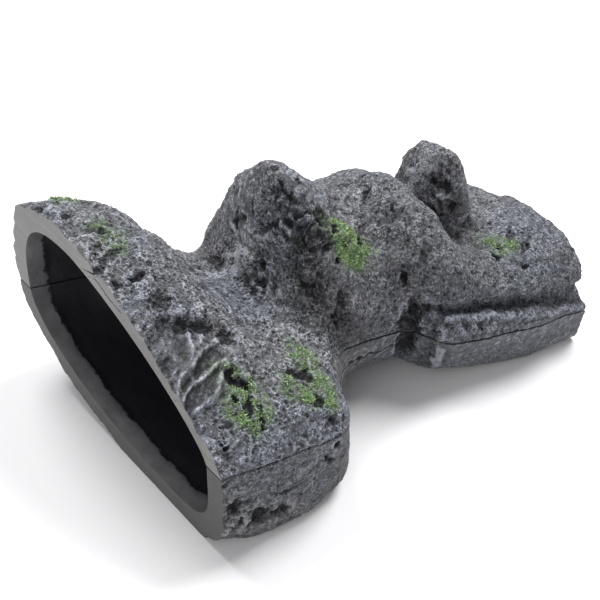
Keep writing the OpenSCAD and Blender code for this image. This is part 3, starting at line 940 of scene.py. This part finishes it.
# --- the two castings ---
SAWN_TINT = {UPPER: (0.195, 0.194, 0.190), LOWER: (0.072, 0.072, 0.072)}
SAW_LINE = {UPPER: ((6.0, 73.6), (-11.0, 68.2)), LOWER: None}     # y and z of its ends
ARRIS = math.radians(50)         # edges sharper than this stay sharp
DUST_REACH = 5.0                 # how far green dust strays from the flock
MOSS = sorted(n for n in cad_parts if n.startswith("moss_"))
bore = bore_material("bore")


def add(name, data):
    """Puts an object in the scene."""
    o = bpy.data.objects.new(name, data)
    bpy.context.scene.collection.objects.link(o)
    return o


def stand_in(name, me, node):
    """Puts a mesh in the place of a CAD node."""
    piece = add(name, me)
    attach(piece, "root")
    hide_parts(node)


def green_dust(points, count):
    """Share of green dust at the points, then zeros up to the mesh's count."""
    green = np.zeros(count)
    for pad in (tree_of(n) for n in MOSS):
        for i, p in enumerate(points):
            far = pad.find_nearest(Vector(p), DUST_REACH)[3]
            if far is not None:
                green[i] = max(green[i], 1 - far / DUST_REACH)
    spread = 1 + 0.5 * fbm(points / 4, 191, 2)
    green[:len(points)] = ramp(green[:len(points)] * spread, 0.25, 0.95)
    return green


def casting(node, tree, side, counts, slot):
    """A painted casting. Returns its surface, with the carving's height and black share there."""
    me, out, high, dark, angle = shell_mesh(node + "_rock", tree, side, *counts)
    if side == UPPER:
        give(me, "green", green_dust(out.reshape(-1, 3), len(me.vertices)))
    me.materials.append(rock_material(slot, side))
    me.materials.append(sawn_material(node + "_sawn", SAWN_TINT[side], SAW_LINE[side]))
    me.materials.append(bore)
    me.polygons.foreach_set("use_smooth", [True] * len(me.polygons))
    me.set_sharp_from_angle(angle=ARRIS)
    stand_in(node + "_rock", me, node)
    normals = grid_normals(out, side == LOWER)
    return Surface(out.reshape(-1, 3), normals.reshape(-1, 3), angle.reshape(-1)), high.reshape(-1), dark


# Points along and round: of the rock face, then of the bore.
upper = casting("upper_shell", tree_u, UPPER, (312, 296, 70, 56), "painted_rock")
casting("lower_shell", tree_l, LOWER, (300, 240, 70, 50), "painted_rock_lower")

adhesive = adhesive_material("adhesive")
for node in ("bond_line_near", "bond_line_far"):
    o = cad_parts[node]
    o.data.materials.clear()
    o.data.materials.append(adhesive)

# --- moss: flocked fibres standing on the rock ---
FIBRES = 12.0       # to a square millimetre, where the flock took
PER_POINT = 0.33    # square millimetres of rock to a point of the mesh
SEARCH = 4.0        # how far below and above the rock a pad is looked for
# Share of each pad's ground where the flock took.
COVER = {"moss_mouth_top": 0.10, "moss_back_dome": 0.32, "moss_flank_upper": 0.34,
         "moss_flank_middle": 0.50, "moss_flank_lower": 0.50, "moss_flank_large": 0.60,
         "moss_first_hump": 0.80, "moss_rim_crest": 0.90}
FAR_COVER = 0.6     # on the hidden patches


def fibre_mesh(name, roots, normals, strength, seed):
    """One closed sliver to a root: a bent three-sided spike."""
    r = np.random.default_rng(seed)
    k = len(roots)
    length = (0.4 + 0.75 * r.random(k) ** 1.3) * (0.65 + 0.5 * strength)
    width = 0.11 + 0.13 * r.random(k)
    lean = normals * 0.8 + r.normal(0, 0.62, (k, 3))
    lean /= np.linalg.norm(lean, axis=1, keepdims=True)
    bend = r.normal(0, 0.45, (k, 3))
    side = np.cross(lean, r.normal(0, 1, (k, 3)))
    side /= np.linalg.norm(side, axis=1, keepdims=True) + 1e-9
    other = np.cross(lean, side)
    corners = []
    for share, wide in ((0.0, 0.8), (0.5, 1.0)):
        rise = lean * (length * share)[:, None]
        middle = roots - normals * 0.15 + rise + bend * (length * share * share * 0.5)[:, None]
        for t in (0, 2 * math.pi / 3, 4 * math.pi / 3):
            corners.append(middle + side * (width * wide * math.cos(t))[:, None]
                           + other * (width * wide * math.sin(t))[:, None])
    tip = roots + lean * length[:, None] + bend * (length * 0.5)[:, None]
    co = np.stack(corners + [tip], 1).reshape(-1, 3)
    spike = [(0, 2, 1), (0, 1, 4, 3), (1, 2, 5, 4), (2, 0, 3, 5), (3, 4, 6), (4, 5, 6), (5, 3, 6)]
    faces = [tuple(7 * i + v for v in f) for i in range(k) for f in spike]
    me = bpy.data.meshes.new(name)
    me.from_pydata((co / MM).tolist(), [], faces)
    tint = np.repeat(np.clip(0.15 + 0.75 * r.random(k) + 0.1 * strength, 0, 1), 7)
    tint += np.tile([-0.25, -0.25, -0.25, 0, 0, 0, 0.25], k)
    give(me, "tint", tint)
    me.update()
    return me


def under_pad(node, at):
    """Numbers of the rock's points that lie under a moss pad."""
    pad = tree_of(node)
    lo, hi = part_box(node)
    lo, hi = np.array(lo) * MM - 2.0, np.array(hi) * MM + 2.0
    inside = np.flatnonzero(((at.g > lo) & (at.g < hi)).all(1))
    cover = []
    for i in inside:
        p, d = Vector(at.g[i]), Vector(at.n[i])
        cover.append(pad.ray_cast(p - d * SEARCH, d, 2 * SEARCH + 1)[0] is not None)
    return inside[np.array(cover)]


def flock(index, node, at, high, dark, bare):
    """The fibres of one moss patch, on the rock under its pad."""
    chosen = under_pad(node, at)
    where, normals = at.g[chosen], at.n[chosen]
    clump = fbm(where / 2.6, 301 + index, 2) + 0.5 * fbm(where / 6, 311 + index, 2)
    least = np.quantile(clump, 1 - COVER.get(node, FAR_COVER))
    took = np.clip(0.3 + 3.0 * (clump - least), 0, 1)
    took = took * (1 - ramp(dark[chosen], 0.35, 0.6)) * (1 - bare[chosen])
    # flock sits in the hollows and leaves the deepest clefts dark
    took *= ramp(high[chosen], -3.0, -1.8)
    r = np.random.default_rng(40 + index)
    pick = np.repeat(np.arange(len(chosen)), r.poisson(FIBRES * PER_POINT * took))
    jitter = r.normal(0, 0.3, (len(pick), 3))
    jitter -= (jitter * normals[pick]).sum(1)[:, None] * normals[pick]
    return fibre_mesh(node + "_flock", where[pick] + jitter, normals[pick], took[pick], 60 + index)


at, high, dark = upper
bare = np.zeros(len(at.g))
for along, a, reach_x, reach_a in BARE:
    bare = np.maximum(bare, at.spot(along, a, reach_x, reach_a, power=3.0))
moss = moss_material("moss_flock")
for index, node in enumerate(MOSS):
    me = flock(index, node, at, high, dark, bare)
    me.materials.append(moss)
    stand_in(node + "_flock", me, node)

# --- floor, light, camera: in metres ---
FLOOR = 9           # half its side
SINK = 0.0002       # the floor lies this far below the part
fm = bpy.data.meshes.new("studio_floor")
fm.from_pydata([(x * FLOOR, y * FLOOR, 0) for x, y in ((-1, -1), (1, -1), (1, 1), (-1, 1))],
               [], [(0, 1, 2, 3)])
fm.materials.append(floor_material("studio_floor"))
floor = add("studio_floor", fm)
floor.location.z = -SINK

world = bpy.data.worlds.new("studio")
bpy.context.scene.world = world
world.use_nodes = True
world.node_tree.nodes["Background"].inputs["Color"].default_value = (1, 1, 1, 1)
world.node_tree.nodes["Background"].inputs["Strength"].default_value = 0.35


def facing(ahead):
    """The turn that points an object's -Z along a direction."""
    return ahead.to_track_quat("-Z", "Y").to_euler()


# Soft lights: place, what they point at, diameter, watts.
LIGHTS = {"key": ((0.575, 0.0, 1.0), (0, 0, 0), 0.5, 12.6),
          "back": ((0.0, 0.575, 1.0), (0, 0, 0), 0.5, 10.4),
          "fill": ((-0.75, -0.45, 0.55), (0, 0, 0.03), 0.8, 3)}
for name, (place, target, size, power) in LIGHTS.items():
    data = bpy.data.lights.new(name, "AREA")
    data.shape = "DISK"
    data.size = size
    data.energy = power
    lamp = add(name, data)
    lamp.location = place
    lamp.rotation_euler = facing(Vector(target) - Vector(place))

# The photo's view: a long lens from 40 degrees up, turned towards the near side.
TARGET = Vector((-0.0143, -0.01167, 0.040))
TURN, RAISE, AWAY = math.radians(-38.26), math.radians(40.0), 0.4437
cam_data = bpy.data.cameras.new("camera")
cam_data.lens = 78
cam_data.sensor_width = 36
cam_data.clip_start = 0.01
camera = add("camera", cam_data)
bpy.context.scene.camera = camera
ahead = Vector((-math.sin(TURN) * math.cos(RAISE), math.cos(TURN) * math.cos(RAISE), -math.sin(RAISE)))
camera.location = TARGET - ahead * AWAY
camera.rotation_euler = facing(ahead)

bpy.context.scene.view_settings.view_transform = "Standard"
bpy.context.scene.view_settings.look = "None"
